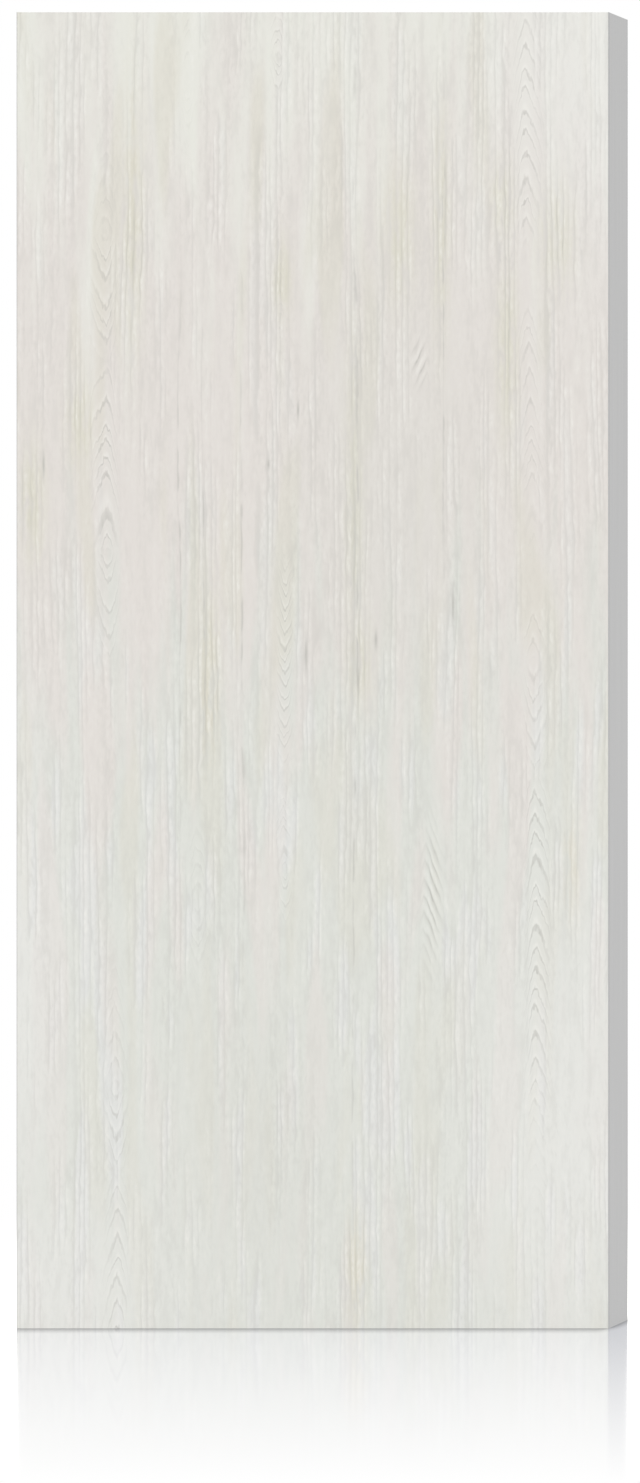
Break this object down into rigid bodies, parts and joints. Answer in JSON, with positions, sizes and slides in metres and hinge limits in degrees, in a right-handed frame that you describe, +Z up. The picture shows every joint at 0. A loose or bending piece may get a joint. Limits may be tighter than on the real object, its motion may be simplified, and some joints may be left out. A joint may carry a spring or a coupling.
{
  "type": "flush hollow core door",
  "caption": "Flat interior door leaf: woodgrain laminate on hardboard skins, glued over a softwood frame with lock blocks and a paper honeycomb core.",
  "frame": {"origin": "foot of the hinge edge, in the middle of the door's thickness", "axes": "+X across the leaf from the hinge edge to the lock edge, +Y from the front face to the back face, +Z up"},
  "size_m": [0.9144, 0.0348, 2.032],
  "materials": {
    "laminate": "matt whitewashed woodgrain laminate",
    "hardboard": "raw high density fibreboard",
    "softwood": "sawn and planed pine, unfinished",
    "edge_band": "matt plain light grey edging",
    "core_paper": "brown kraft paper"
  },
  "bodies": {
    "root": {"back_laminate": "laminate", "back_skin": "hardboard", "bottom_rail": "softwood", "core_strip_01": "core_paper", "core_strip_01_above_lock": "core_paper", "core_strip_02": "core_paper", "core_strip_02_above_lock": "core_paper", "core_strip_03": "core_paper", "core_strip_04": "core_paper", "core_strip_05": "core_paper", "core_strip_06": "core_paper", "core_strip_07": "core_paper", "core_strip_08": "core_paper", "core_strip_09": "core_paper", "core_strip_10": "core_paper", "core_strip_11": "core_paper", "core_strip_12": "core_paper", "core_strip_13": "core_paper", "core_strip_14": "core_paper", "core_strip_15": "core_paper", "core_strip_16": "core_paper", "core_strip_17": "core_paper", "core_strip_18": "core_paper", "core_strip_19": "core_paper", "core_strip_19_above_lock": "core_paper", "core_strip_20": "core_paper", "core_strip_20_above_lock": "core_paper", "front_laminate": "laminate", "front_skin": "hardboard", "hinge_edge_band": "edge_band", "hinge_side_lock_block": "softwood", "hinge_stile": "softwood", "lock_edge_band": "edge_band", "lock_side_lock_block": "softwood", "lock_stile": "softwood", "top_rail": "softwood"}
  },
  "joints": []
}
